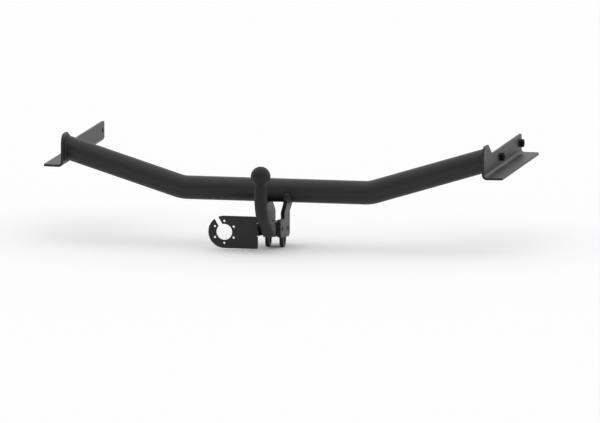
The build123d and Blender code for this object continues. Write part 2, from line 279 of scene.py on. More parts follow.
def axes_at(centre: Vector, x_axis: Vector, z_axis: Vector) -> Matrix:
    """Place of a piece whose own X and Z axes lie along two directions from a centre."""
    turned = Matrix((x_axis, z_axis.cross(x_axis), z_axis)).transposed()
    return Matrix.Translation(centre) @ turned.to_4x4()


def box_centre(node: str) -> Vector:
    """Centre of a CAD node's box."""
    low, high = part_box(node)
    return (low + high) / 2


def edge_chain(name: str, points: Sequence[Vector]) -> bpy.types.Object:
    """Draws a line of edges, extruded point by point from a plane merged to its centre.

    Args:
        name: the new piece's name.
        points: the corners of the line, in order.

    Returns:
        The piece, which has no faces yet.
    """
    piece = start(bpy.ops.mesh.primitive_plane_add, name, size=MM)
    with editing(piece):
        bpy.ops.mesh.select_all(action="SELECT")
        bpy.ops.mesh.merge(type="CENTER")
        bpy.ops.transform.translate(value=points[0])
        for here, there in zip(points, points[1:]):
            bpy.ops.mesh.extrude_vertices_move(TRANSFORM_OT_translate={"value": there - here})
    return piece


def rounded_route(
    corners: Sequence[Vector], radii: Sequence[float], turn_step: float
) -> list[tuple[float, Vector, Vector]]:
    """Stations along straight runs that are joined by tangent arcs.

    Args:
        corners: the corners of the runs, with the route's ends first and last.
        radii: the arcs' radii, one for each inner corner.
        turn_step: about the turn between two stations of an arc.

    Returns:
        For each station, the distance travelled, the point and the direction of travel.
    """
    stations = []
    travelled = 0.0
    here = corners[0]
    for before, corner, after, radius in zip(corners, corners[1:], corners[2:], radii):
        heading = (corner - before).normalized()
        leaving = (after - corner).normalized()
        turn = heading.angle(leaving)
        tangent_length = radius * tan(turn / 2)
        entry = corner - heading * tangent_length
        stations.append((travelled, here, heading))
        travelled += (entry - here).length
        inwards = (leaving - heading * heading.dot(leaving)).normalized()
        centre = entry + inwards * radius
        steps = max(2, round(turn / turn_step))
        for step in range(steps):
            angle = turn * step / steps
            direction = heading * cos(angle) + inwards * sin(angle)
            point = centre + (heading * sin(angle) - inwards * cos(angle)) * radius
            stations.append((travelled + radius * angle, point, direction))
        travelled += radius * turn
        here = corner + leaving * tangent_length
    stations.append((travelled, here, leaving))
    stations.append((travelled + (corners[-1] - here).length, corners[-1], leaving))
    return stations


def linear(hex_colour: str) -> tuple[float, float, float, float]:
    """Turns an sRGB hex colour to linear light.

    Args:
        hex_colour: the colour, such as "#2a2b2c".

    Returns:
        Its red, green, blue and alpha, which is 1.
    """
    shares = [int(hex_colour[n : n + 2], 16) / 255 for n in (1, 3, 5)]
    red, green, blue = (
        s / 12.92 if s <= 0.04045 else ((s + 0.055) / 1.055) ** 2.4 for s in shares
    )
    return red, green, blue, 1.0


def add_node(
    tree: bpy.types.NodeTree, kind: str, inputs: dict[Any, Any] | None = None, **settings: Any
) -> bpy.types.Node:
    """Adds a node with its settings and links.

    Args:
        tree: the material's or world's node tree.
        kind: the node's type name.
        inputs: by socket, a value or the output socket that is linked to it.
        **settings: the node's own attributes.

    Returns:
        The new node.
    """
    node = tree.nodes.new(kind)
    for name, value in settings.items():
        setattr(node, name, value)
    for socket, value in (inputs or {}).items():
        if isinstance(value, bpy.types.NodeSocket):
            tree.links.new(value, node.inputs[socket])
        else:
            node.inputs[socket].default_value = value
    return node


def new_material(name: str) -> tuple[bpy.types.Material, bpy.types.NodeTree]:
    """Starts a node material.

    Args:
        name: the material's name.

    Returns:
        The material and its node tree, which is empty.
    """
    material = bpy.data.materials.new(name)
    material.use_nodes = True
    material.node_tree.nodes.clear()
    return material, material.node_tree


@dataclass(frozen=True)
class PowderCoat:
    """Black polyester powder coat, sprayed on blasted steel and baked.

    The melt levels into a satin film with a shallow orange peel. What lies under it, such
    as rolled plate or a scaled forging, still shows as low waves.
    """

    name: str
    colour: str = "#222222"
    thin_colour: str = "#29292a"
    roughness: float = 0.44
    roughness_spread: float = 0.05
    gloss: float = 0.50
    patch_size: float = 45 * MM
    peel_size: float = 4.5 * MM
    peel_depth: float = 0.05 * MM
    wave_size: float = 30 * MM
    wave_depth: float = 0.02 * MM

    def make(self) -> bpy.types.Material:
        """Builds the material's nodes.

        Returns:
            The material.
        """
        material, tree = new_material(self.name)
        place = add_node(tree, "ShaderNodeTexCoord").outputs["Object"]
        # The film's thickness drifts over a hand's width, which shifts colour and gloss.
        patches = add_node(
            tree,
            "ShaderNodeTexNoise",
            {"Vector": place, "Scale": 1 / self.patch_size, "Detail": 3.0, "Roughness": 0.6},
        ).outputs["Fac"]
        shades = {MIX_COLOUR_A: linear(self.colour), MIX_COLOUR_B: linear(self.thin_colour)}
        tint = add_node(
            tree, "ShaderNodeMix", {MIX_SHARE: patches, **shades}, data_type="RGBA"
        ).outputs[MIXED_COLOUR]
        roughness = add_node(
            tree,
            "ShaderNodeMapRange",
            {
                "Value": patches,
                "To Min": self.roughness - self.roughness_spread,
                "To Max": self.roughness + self.roughness_spread,
            },
        ).outputs["Result"]
        # Orange peel is 1 to 2 mm across. It is drawn coarser here so that it shows at all.
        peel = add_node(
            tree,
            "ShaderNodeTexNoise",
            {"Vector": place, "Scale": 1 / self.peel_size, "Detail": 1.0},
        ).outputs["Fac"]
        waves = add_node(
            tree,
            "ShaderNodeTexNoise",
            {"Vector": place, "Scale": 1 / self.wave_size, "Detail": 2.0},
        ).outputs["Fac"]
        wavy = add_node(
            tree, "ShaderNodeBump", {"Height": waves, "Distance": self.wave_depth, "Strength": 1.0}
        ).outputs["Normal"]
        normal = add_node(
            tree,
            "ShaderNodeBump",
            {"Height": peel, "Distance": self.peel_depth, "Strength": 1.0, "Normal": wavy},
        ).outputs["Normal"]
        shader = add_node(
            tree,
            "ShaderNodeBsdfPrincipled",
            {
                "Base Color": tint,
                "Roughness": roughness,
                "IOR": 1.5,
                "Specular IOR Level": self.gloss,
                "Normal": normal,
            },
        ).outputs["BSDF"]
        add_node(tree, "ShaderNodeOutputMaterial", {"Surface": shader})
        return material


@dataclass(frozen=True)
class PhosphatedSteel:
    """Fasteners of carbon steel, zinc phosphated and oiled to a near black matt skin."""

    name: str
    colour: str = "#131415"
    bare_colour: str = "#222325"
    gloss: float = 0.2
    roughness: float = 0.7
    grain_size: float = 0.8 * MM
    grain_depth: float = 0.02 * MM

    def make(self) -> bpy.types.Material:
        """Builds the material's nodes.

        Returns:
            The material.
        """
        material, tree = new_material(self.name)
        place = add_node(tree, "ShaderNodeTexCoord").outputs["Object"]
        # The crystals are far finer than this grain, which is drawn to show close up.
        grain = add_node(
            tree,
            "ShaderNodeTexNoise",
            {"Vector": place, "Scale": 1 / self.grain_size, "Detail": 2.0},
        ).outputs["Fac"]
        shades = {MIX_COLOUR_A: linear(self.colour), MIX_COLOUR_B: linear(self.bare_colour)}
        tint = add_node(
            tree, "ShaderNodeMix", {MIX_SHARE: grain, **shades}, data_type="RGBA"
        ).outputs[MIXED_COLOUR]
        normal = add_node(
            tree,
            "ShaderNodeBump",
            {"Height": grain, "Distance": self.grain_depth, "Strength": 1.0},
        ).outputs["Normal"]
        shader = add_node(
            tree,
            "ShaderNodeBsdfPrincipled",
            {
                "Base Color": tint,
                "Roughness": self.roughness,
                "Specular IOR Level": self.gloss,
                "Normal": normal,
            },
        ).outputs["BSDF"]
        add_node(tree, "ShaderNodeOutputMaterial", {"Surface": shader})
        return material


FINISHES = {
    # Drawn tube and rolled plate are smooth under their coat.
    Slot.TUBE: PowderCoat("powder_coated_tube"),
    Slot.PLATE: PowderCoat("powder_coated_plate"),
    # The scaled skin of a forging makes the same coat wavy and duller. Its darker colour is
    # painted shade, a shaded copy of the coat for the neck and ball.
    Slot.FORGING: PowderCoat(
        "powder_coated_forging",
        colour="#1c1c1c",
        thin_colour="#222223",
        roughness=0.5,
        gloss=0.42,
        wave_depth=0.25 * MM,
    ),
    # The coat levels less over a bead's spatter, so its peel is finer and deeper there.
    Slot.WELD: PowderCoat("powder_coated_weld", peel_size=2.5 * MM, peel_depth=0.12 * MM),
    Slot.FASTENER: PhosphatedSteel("black_phosphated_steel"),
}


@dataclass
class Wardrobe:
    """Dresses each piece: its finish, its body, and the CAD node that it stands for."""

    materials: dict[Slot, bpy.types.Material] = field(default_factory=dict)

    def dress(self, piece: bpy.types.Object, slot: Slot, node: str) -> None:
        """Gives a finished piece its material and ties it to the frame.

        Args:
            piece: the piece, in its place.
            slot: the record's material slot of its finish.
            node: the CAD node that it stands for.
        """
        if slot not in self.materials:
            self.materials[slot] = FINISHES[slot].make()
        piece.data.materials.clear()
        piece.data.materials.append(self.materials[slot])
        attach(piece, "root")
        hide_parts(node)
        log.info("%s: %d faces, for %s", piece.name, len(piece.data.polygons), node)


@dataclass
class CutPlate:
    """A laser cut and bent plate, whose edges are broken before it is coated."""

    node: str
    name: str
    edge_break: float = 0.6 * MM
    segments: int = 3
    sharp_angle: float = radians(40)
    flat_angle: float = radians(0.4)
    smallest_step: float = MERGE_DISTANCE

    def build(self) -> bpy.types.Object:
        """Copies the CAD plate, merges its flat faces and breaks its edges.

        Returns:
            The plate, in its place.
        """
        plate = bpy.data.objects.new(self.name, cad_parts[self.node].data.copy())
        plate.data.name = self.name
        plate.data.materials.clear()
        bpy.context.collection.objects.link(plate)
        with editing(plate):
            bpy.ops.mesh.select_all(action="SELECT")
            bpy.ops.mesh.remove_doubles(threshold=self.smallest_step)
            bpy.ops.mesh.dissolve_limited(angle_limit=self.flat_angle)
            pick(
                plate,
                Element.EDGES,
                lambda edge: edge.calc_face_angle(0.0) > self.sharp_angle,
            )
            bpy.ops.mesh.bevel(
                offset=self.edge_break,
                segments=self.segments,
                clamp_overlap=False,
                loop_slide=False,
            )
        self.drop_strays(plate)
        smooth(plate)
        modify(plate, "WEIGHTED_NORMAL", keep_sharp=True)
        return plate

    def drop_strays(self, plate: bpy.types.Object) -> None:
        """Dissolves the corners that the bevel has thrown outside the plate's own box.

        Args:
            plate: the bevelled plate.
        """
        low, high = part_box(self.node)
        with editing(plate):
            pick(
                plate,
                Element.VERTICES,
                lambda vertex: any(
                    not low[n] - MERGE_DISTANCE < vertex.co[n] < high[n] + MERGE_DISTANCE
                    for n in range(3)
                ),
            )
            bpy.ops.mesh.dissolve_verts()


@dataclass
class CrossTube:
    """Welded steel tube, bent in one plane near its middle and cut to the brackets.

    The middle is the distance between the corners of the two bends. Each leg is drawn
    spare_length times as long as it spans, and the brackets' plane cuts it off.
    """

    wall: float = 4 * MM
    middle: float = 485 * MM
    leg_angle: float = radians(17.2)
    bend_radius: float = 90 * MM
    spare_length: float = 1.2
    sides: int = 96
    bend_steps: int = 12

    def __post_init__(self) -> None:
        """Reads the tube's size and place from the frame."""
        low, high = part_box("crossbar_tube")
        self.radius = (high.y - low.y) / 2
        self.half_span = high.x
        self.axis_y = (low.y + high.y) / 2
        self.axis_z = low.z + self.radius

    @property
    def leg_end_z(self) -> float:
        """Height of the tube's axis where it meets a bracket."""
        return self.axis_z + (self.half_span - self.middle / 2) * tan(self.leg_angle)

    def build(self) -> bpy.types.Object:
        """Draws both skins of one half from the middle outwards, joins and mirrors them.

        Returns:
            The tube, in its place.
        """
        section = {
            "vertices": self.sides,
            "location": (0, self.axis_y, self.axis_z),
            "rotation": (0, QUARTER_TURN, 0),
        }
        tube = start(
            bpy.ops.mesh.primitive_circle_add, "crossbar", radius=self.radius, **section
        )
        settle(tube)
        bend_x = self.middle / 2 - self.bend_radius * tan(self.leg_angle / 2)
        leg_run = (self.half_span - bend_x) * self.spare_length
        with editing(tube):
            bpy.ops.mesh.primitive_circle_add(radius=self.radius - self.wall, **section)
            bpy.ops.mesh.select_all(action="SELECT")
            bpy.ops.mesh.extrude_region_move(TRANSFORM_OT_translate={"value": RIGHT * bend_x})
            bpy.ops.mesh.spin(
                steps=self.bend_steps,
                angle=self.leg_angle,
                center=(bend_x, self.axis_y, self.axis_z + self.bend_radius),
                axis=FORWARD,
            )
            outwards = Vector((cos(self.leg_angle), 0, sin(self.leg_angle)))
            bpy.ops.mesh.extrude_region_move(TRANSFORM_OT_translate={"value": outwards * leg_run})
            bpy.ops.mesh.select_all(action="SELECT")
            bpy.ops.mesh.bisect(
                plane_co=RIGHT * self.half_span, plane_no=RIGHT, clear_outer=True
            )
            pick(
                tube,
                Element.EDGES,
                lambda edge: edge.is_boundary and edge_middle(edge).x > self.half_span - OVERRUN,
            )
            bpy.ops.mesh.fill()
        modify(tube, "MIRROR", use_axis=(True, False, False), merge_threshold=MERGE_DISTANCE)
        face_outwards(tube)
        smooth(tube)
        return tube


@dataclass
class WeldBead:
    """A fillet weld laid in short overlapping ripples round the tube, on a plate's face.

    The bead goes all the way round. With stop_short, it goes round the tube's lower half
    and stops that angle short at both ends.
    """

    # Where the tube's axis meets the plate's face, and the angle between it and the normal.
    centre: Vector
    tube_radius: float
    lean: float
    # The long way of the joint's ellipse, and the way out of the plate's face.
    up: Vector
    away: Vector
    # Reach of the bead along the tube and over the plate, and its depth inside each.
    leg: float
    sink: float = 1.6 * MM
    root_sink: float = 0.25 * MM
    stop_short: float | None = None
    # A ripple's length, and how far the middle of its edge runs ahead of its ends.
    pitch: float = 1.9 * MM
    crescent: float = 0.9 * MM
    # How much flatter than round the crown is, and how its line wanders as a hand does.
    crown: float = 0.16
    wander: float = 0.5 * MM
    wander_size: float = 9 * MM
    arc_points: int = 9
    path_steps: int = 64
    # Steps of a ripple, which starts and ends at the groove's size, and of the nose that
    # closes an open end: the share of its length that each step takes, and the size after it.
    groove: float = 0.93
    ripple_swell: tuple[tuple[float, float], ...] = ((0.2, 0.98), (0.4, 1.0), (0.3, 0.97))
    ripple_fall: float = 0.1
    nose_length: float = 0.4
    nose_swell: tuple[tuple[float, float], ...] = ((0.6, 0.8), (0.4, 0.5))
    smooth_angle: float = radians(50)

    def section(self) -> list[Vector]:
        """Draws the edge of one ripple.

        Returns:
            Its points, from inside the tube over the crown to the plate.
        """
        points = [Vector((0, -self.sink, -self.root_sink)), Vector((0, -self.sink, self.leg))]
        for step in range(self.arc_points):
            angle = QUARTER_TURN * (1 - step / (self.arc_points - 1))
            bulge = sin(2 * angle)
            reach = self.leg * (1 - self.crown * bulge**2)
            points.append(Vector((self.crescent * bulge, reach * cos(angle), reach * sin(angle))))
        points.append(Vector((0, self.leg, -self.root_sink)))
        return points

    def ripple(self, name: str) -> bpy.types.Object:
        """Makes a ring that swells from a groove and falls back to the next one.

        Args:
            name: the new piece's name.

        Returns:
            One ripple along X, open at both ends.
        """
        outline = self.section()
        bead = edge_chain(name, outline)
        ends = (0, len(outline) - 1)
        with editing(bead):
            pick(bead, Element.VERTICES, lambda vertex: vertex.index in ends)
            bpy.ops.mesh.edge_face_add()
            bpy.ops.mesh.select_all(action="SELECT")
            here = self.groove
            bpy.ops.transform.resize(value=(1, here, here), center_override=(0, 0, 0))
            for share, size in (*self.ripple_swell, (self.ripple_fall, self.groove)):
                step = RIGHT * self.pitch * share
                bpy.ops.mesh.extrude_region_move(TRANSFORM_OT_translate={"value": step})
                grown = size / here
                bpy.ops.transform.resize(value=(1, grown, grown), center_override=(0, 0, 0))
                here = size
        return bead

    def build(self, name: str) -> bpy.types.Object:
        """Repeats the ripple along the ellipse where the tube meets the plate.

        Args:
            name: the new piece's name.

        Returns:
            The bead, in its place.
        """
        circle = bpy.ops.curve.primitive_bezier_circle_add
        path = start(circle, name + "_path", radius=self.tube_radius)
        path.scale = (1 / cos(self.lean), 1, 1)
        settle(path)
        path.data.resolution_u = self.path_steps
        path.data.use_radius = False
        round_length = path.data.splines[0].calc_length()
        skipped = 0.0
        length = round_length
        if self.stop_short is not None:
            skipped = round_length * self.stop_short / FULL_TURN + self.nose_length * self.leg
            length = round_length / 2 - 2 * skipped
        count = round(length / self.pitch)
        bead = self.ripple(name)
        modify(
            bead,
            "ARRAY",
            count=count,
            use_relative_offset=False,
            use_constant_offset=True,
            constant_offset_displace=(self.pitch, 0, 0),
            use_merge_vertices=True,
            merge_threshold=MERGE_DISTANCE,
        )
        bead.scale.x = length / (count * self.pitch)
        bead.location.x = skipped
        settle(bead)
        if self.stop_short is not None:
            self.round_ends(bead, skipped, skipped + length)
        modify(bead, "CURVE", object=path, deform_axis="POS_X")
        bpy.data.objects.remove(path)
        face_outwards(bead)
        settle(bead, axes_at(self.centre, self.up, self.away))
        uneven = bpy.data.textures.new(name, "CLOUDS")
        uneven.noise_scale = self.wander_size
        modify(bead, "DISPLACE", texture=uneven, strength=self.wander, texture_coords="LOCAL")
        smooth(bead, self.smooth_angle)
        return bead

    def round_ends(self, bead: bpy.types.Object, first: float, last: float) -> None:
        """Closes both ends of an open bead with a low rounded nose.

        Args:
            bead: the bead, still straight along X.
            first: where it starts.
            last: where it ends.
        """
        with editing(bead):
            for end, outwards in ((first, -1), (last, 1)):
                pick(
                    bead,
                    Element.EDGES,
                    lambda edge: edge.is_boundary
                    and abs(edge_middle(edge).x - end) < self.crescent + MERGE_DISTANCE,
                )
                for share, size in self.nose_swell:
                    step = RIGHT * outwards * share * self.nose_length * self.leg
                    bpy.ops.mesh.extrude_region_move(TRANSFORM_OT_translate={"value": step})
                    bpy.ops.transform.resize(value=(1, size, size), center_override=(0, 0, 0))
                bpy.ops.mesh.edge_face_add()


@dataclass
class SwanNeck:
    """Drop forged ball neck: a turned ball, a round bent neck and a flat sided tongue.

    The neck's line drops from the ball to the elbow, slopes down to the heel and runs on
    through the two bolts. The elbow's depth is that of its corner under the ball's centre.
    The tongue has its full size from tongue_start on, along the car, and ends tongue_end
    past the front bolt.
    """

    ball_radius: float = 25 * MM
    fillet: float = 3 * MM
    top_diameter: float = 29 * MM
    neck_diameter: float = 32.4 * MM
    heel_width: float = 33 * MM
    tongue_thickness: float = 27 * MM
    tongue_height: float = 38 * MM
    tongue_corner: float = 6 * MM
    tongue_start: float = 125 * MM
    tongue_end: float = 20 * MM
    end_break: float = 2.5 * MM
    elbow_depth: float = 94 * MM
    slope: float = radians(31)
    elbow_radius: float = 78 * MM
    heel_radius: float = 40 * MM
    bolt_hole: float = 13 * MM
    sides: int = 64
    ball_rings: int = 44
    fillet_steps: int = 6
    hole_sides: int = 48
    bend_step: float = radians(4)

    def __post_init__(self) -> None:
        """Reads the line of the two bolts from the frame."""
        self.rear_bolt = box_centre("rear_plain_washer")
        self.front_bolt = box_centre("front_plain_washer")
        self.rear_bolt.x = self.front_bolt.x = 0
        self.forward = (self.front_bolt - self.rear_bolt).normalized()

    def line_point(self, y: float) -> Vector:
        """Point on the line through the two bolts, at a place along the car."""
        return self.rear_bolt + self.forward * ((y - self.rear_bolt.y) / self.forward.y)

    def route(self) -> list[tuple[float, Vector, Vector]]:
        """Runs down the neck and along its slope to where the tongue is at its full size.

        Returns:
            For each station, the distance travelled, the point and the direction of travel.
        """
        fall = -self.forward.z / self.forward.y
        heel_y = (self.line_point(0).z + self.elbow_depth) / (fall - tan(self.slope))
        corners = [
            Vector((0, 0, self.neck_top)),
            Vector((0, 0, -self.elbow_depth)),
            self.line_point(heel_y),
            self.line_point(self.tongue_start),
        ]
        return rounded_route(corners, [self.elbow_radius, self.heel_radius], self.bend_step)

    @property
    def neck_top(self) -> float:
        """Height where the fillet under the ball has run into the neck."""
        across = self.top_diameter / 2 + self.fillet
        return -sqrt((self.ball_radius + self.fillet) ** 2 - across**2)

    def section(self, share: float) -> tuple[float, float, float]:
        """Blends the neck's section between a few marks along it.

        Args:
            share: how far along the route the section is, from 0 to 1.

        Returns:
            Its width, height and corner radius.
        """
        tongue_rounding = self.tongue_corner / self.tongue_thickness
        # Share of the route, width, height, and corner radius as a share of the width.
        marks = (
            (0.0, self.top_diameter, self.top_diameter, 0.5),
            (0.16, self.neck_diameter, self.neck_diameter, 0.5),
            (0.55, self.heel_width, self.heel_width, 0.5),
            (0.82, self.heel_width, self.tongue_height, 0.42),
            (1.0, self.tongue_thickness, self.tongue_height, tongue_rounding),
        )
        for (low, *before), (high, *after) in zip(marks, marks[1:]):
            if share <= high:
                break
        blend = min(1.0, max(0.0, (share - low) / (high - low)))
        blend = blend * blend * (3 - 2 * blend)
        width, height, rounding = (a + (b - a) * blend for a, b in zip(before, after))
        return width, height, min(rounding * width, FULLY_ROUND * width)

    def add_ring(
        self, width: float, height: float, corner: float, point: Vector, heading: Vector
    ) -> None:
        """Adds a rounded rectangle of edges square to the neck's line, in edit mode.

        Args:
            width: its size across the car.
            height: its size square to that and to the line.
            corner: the radius of its corners.
            point: where its centre is on the line.
            heading: the direction of the line there.
        """
        bpy.ops.mesh.select_all(action="DESELECT")
        bpy.ops.mesh.primitive_plane_add(size=1)
        bpy.ops.transform.resize(value=(width, height, 1))
        bpy.ops.mesh.bevel(
            offset=corner, segments=self.sides // 4 - 1, affect="VERTICES", clamp_overlap=False
        )
        turn = Vector((0, -1)).angle_signed(Vector((heading.y, heading.z)))
        bpy.ops.transform.rotate(value=turn, orient_axis="X", center_override=(0, 0, 0))
        bpy.ops.transform.translate(value=point)
        bpy.ops.mesh.delete(type="ONLY_FACE")

    def build(self) -> bpy.types.Object:
        """Turns the ball, bridges the neck's rings down to the tongue and bores its holes.

        Returns:
            The neck, in its place.
        """
        neck = start(
            bpy.ops.mesh.primitive_uv_sphere_add,
            "swan_neck",
            segments=self.sides,
            ring_count=self.ball_rings,
            radius=self.ball_radius,
        )
        # The fillet's arc is tangent to the ball where the ball is cut off, and ends upright.
        ball_share = self.ball_radius / (self.ball_radius + self.fillet)
        rim_z = self.neck_top * ball_share
        across = self.top_diameter / 2 + self.fillet
        to_rim = Vector((across * (ball_share - 1), rim_z - self.neck_top))
        rim_turn = abs(to_rim.angle_signed(Vector((-1, 0))))
        stations = self.route()
        length = stations[-1][0]
        tongue_tip = self.front_bolt + self.forward * self.tongue_end
        with editing(neck):
            bpy.ops.mesh.select_all(action="SELECT")
            bpy.ops.mesh.bisect(plane_co=UP * rim_z, plane_no=UP, clear_inner=True)
            for step in range(1, self.fillet_steps):
                angle = pi - rim_turn * (1 - step / self.fillet_steps)
                radius = across + self.fillet * cos(angle)
                height = self.neck_top + self.fillet * sin(angle)
                self.add_ring(
                    2 * radius, 2 * radius, FULLY_ROUND * 2 * radius, UP * height, -UP
                )
            for travelled, point, heading in stations:
                self.add_ring(*self.section(travelled / length), point, heading)
            self.add_ring(*self.section(1), tongue_tip, self.forward)
            bpy.ops.mesh.select_all(action="DESELECT")
            bpy.ops.mesh.select_mode(type=Element.EDGES.value)
            bpy.ops.mesh.select_non_manifold()
            bpy.ops.mesh.bridge_edge_loops()
            bpy.ops.mesh.select_all(action="DESELECT")
            bpy.ops.mesh.select_non_manifold()
            bpy.ops.mesh.edge_face_add()
            bpy.ops.mesh.bevel(offset=self.end_break, segments=4, clamp_overlap=False)
        face_outwards(neck)
        for bolt in (self.rear_bolt, self.front_bolt):
            drill = start(
                bpy.ops.mesh.primitive_cylinder_add,
                "drill",
                vertices=self.hole_sides,
                radius=self.bolt_hole / 2,
                depth=2 * self.tongue_thickness,
                location=bolt,
                rotation=(0, QUARTER_TURN, 0),
            )
            combine(neck, settle(drill), "DIFFERENCE")
        smooth(neck)
        return neck


@dataclass
class Thread:
    """Metric coarse outside thread, M12 unless sized otherwise."""

    diameter: float = 12 * MM
    pitch: float = 1.75 * MM
    root_diameter: float = 10.1 * MM
    steps: int = 32
    spare_turns: int = 3

    def rod(self, name: str, bottom: float, top: float) -> bpy.types.Object:
        """Makes a threaded rod along Z, closed at both ends.

        Args:
            name: the new piece's name.
            bottom: the height of its lower end.
            top: the height of its upper end.

        Returns:
            The rod, cut from a thread that ran past both ends.
        """
        root, crest = self.root_diameter / 2, self.diameter / 2
        # Radius and share of the pitch along one turn's edge.
        profile = (
            (root, 0.0),
            (root, 0.125),
            (crest, 0.4375),
            (crest, 0.5625),
            (root, 0.875),
            (root, 1.0),
        )
        rod = edge_chain(name, [Vector((r, 0, share * self.pitch)) for r, share in profile])
        turns = int((top - bottom) / self.pitch) + self.spare_turns
        modify(
            rod,
            "SCREW",
            axis="Z",
            angle=FULL_TURN,
            screw_offset=self.pitch,
            iterations=turns,
            steps=self.steps,
            render_steps=self.steps,
            use_merge_vertices=True,
        )
        rod.location.z = bottom - self.spare_turns / 2 * self.pitch
        settle(rod)
        with editing(rod):
            bpy.ops.mesh.select_all(action="SELECT")
            bpy.ops.mesh.remove_doubles(threshold=MERGE_DISTANCE)
            bpy.ops.mesh.bisect(
                plane_co=UP * bottom, plane_no=UP, use_fill=True, clear_inner=True
            )
            bpy.ops.mesh.select_all(action="SELECT")
            bpy.ops.mesh.bisect(plane_co=UP * top, plane_no=UP, use_fill=True, clear_outer=True)
        face_outwards(rod)
        return rod


@dataclass
class HexBlank:
    """Cold formed hexagon whose corners are turned down at its ends."""

    across_flats: float
    height: float
    chamfer: float = 0.8 * MM
    both_ends: bool = False
    disc_sides: int = 96

    def build(self, name: str) -> bpy.types.Object:
        """Cuts a hexagonal prism down to a turned disc with sloped rims.

        Args:
            name: the new piece's name.

        Returns:
            The blank, which stands on Z = 0.
        """
        corner_radius = self.across_flats / sqrt(3)
        placed = {"depth": self.height, "location": UP * self.height / 2}
        hexagon = start(
            bpy.ops.mesh.primitive_cylinder_add, name, vertices=6, radius=corner_radius, **placed
        )
        disc = start(
            bpy.ops.mesh.primitive_cylinder_add,
            "turned_disc",
            vertices=self.disc_sides,
            radius=corner_radius,
            **placed,
        )
        settle(hexagon)
        settle(disc)
        ends = ((self.height, 1), (0.0, -1)) if self.both_ends else ((self.height, 1),)
        with editing(disc):
            for level, outwards in ends:
                pick(disc, Element.FACES, lambda face: face.normal.z * outwards > SQUARE_ON)
                bpy.ops.mesh.inset(thickness=2 * self.chamfer)
                pick(
                    disc,
                    Element.VERTICES,
                    lambda vertex: abs(vertex.co.z - level) < MERGE_DISTANCE
                    and vertex.co.xy.length > corner_radius - MERGE_DISTANCE,
                )
                bpy.ops.transform.translate(value=UP * -outwards * self.chamfer)
        combine(hexagon, disc, "INTERSECT")
        return hexagon


@dataclass
class WeldNut:
    """Hexagon nut that is welded over a screw hole, with a countersunk thread."""

    across_flats: float = 18 * MM
    height: float = 10 * MM
    countersink: float = 0.9 * MM
    cone_sides: int = 64
    # The nut's thread is cut a little wider than the bolt's.
    thread: Thread = field(
        default_factory=lambda: Thread(diameter=12.3 * MM, root_diameter=10.4 * MM)
    )

    def build(self, name: str) -> bpy.types.Object:
        """Taps a hexagon through and countersinks both ends of the thread.

        Args:
            name: the new piece's name.

        Returns:
            The nut, which stands on Z = 0 with its thread along Z.
        """
        nut = HexBlank(self.across_flats, self.height, both_ends=True).build(name)
        tap = self.thread.rod("tap", -OVERRUN, self.height + OVERRUN)
        combine(nut, tap, "DIFFERENCE")
        radius = self.thread.diameter / 2 + OVERRUN
        for level, turn in ((0.0, pi), (self.height, 0.0)):
            cone = start(
                bpy.ops.mesh.primitive_cone_add,
                "countersink",
                vertices=self.cone_sides,
                radius1=radius - self.countersink,
                radius2=radius + self.countersink,
                depth=2 * self.countersink,
            )
            settle(cone, Matrix.Translation(UP * level) @ Matrix.Rotation(turn, 4, "X"))
            combine(nut, cone, "DIFFERENCE")
        smooth(nut)
        return nut


@dataclass
class NeckBolt:
    """Hexagon head bolt whose shank is plain under the head and threaded to its end."""

    across_flats: float = 18 * MM
    head_height: float = 7.5 * MM
    length: float = 53.5 * MM
    thread_length: float = 30 * MM
    end_chamfer: float = 1.4 * MM
    shank_chamfer: float = 0.9 * MM
    sides: int = 64
    thread: Thread = field(default_factory=Thread)

    def build(self, name: str) -> bpy.types.Object:
        """Joins a hexagon head, a plain shank and a thread with a chamfered end.

        Args:
            name: the new piece's name.

        Returns:
            The bolt, whose head stands on Z = 0 and whose shank points down.
        """
        bolt = HexBlank(self.across_flats, self.head_height).build(name)
        radius = self.thread.diameter / 2
        plain_end = self.thread_length - self.length
        threaded = self.thread.rod("thread", -self.length, plain_end + OVERRUN)
        point_top = plain_end + 2 * OVERRUN
        point = self.turned("point", radius + OVERRUN, -self.length, point_top, self.end_chamfer)
        combine(threaded, point, "INTERSECT")
        shank = self.turned("shank", radius, plain_end, OVERRUN, self.shank_chamfer)
        combine(shank, threaded, "UNION")
        combine(bolt, shank, "UNION")
        smooth(bolt)
        return bolt

    def turned(
        self, name: str, radius: float, bottom: float, top: float, chamfer: float
    ) -> bpy.types.Object:
        """Makes a cylinder along Z whose lower rim is chamfered.

        Args:
            name: the new piece's name.
            radius: the cylinder's radius.
            bottom: the height of its lower end.
            top: the height of its upper end.
            chamfer: the width of the slope on its lower rim.

        Returns:
            The cylinder.
        """
        blank = start(
            bpy.ops.mesh.primitive_cylinder_add,
            name,
            vertices=self.sides,
            radius=radius,
            depth=top - bottom,
            location=UP * (top + bottom) / 2,
        )
        settle(blank)
        with editing(blank):
            pick(
                blank,
                Element.EDGES,
                lambda edge: all(v.co.z < bottom + MERGE_DISTANCE for v in edge.verts),
            )
            bpy.ops.mesh.bevel(offset=chamfer, segments=1, clamp_overlap=False)
        return blank


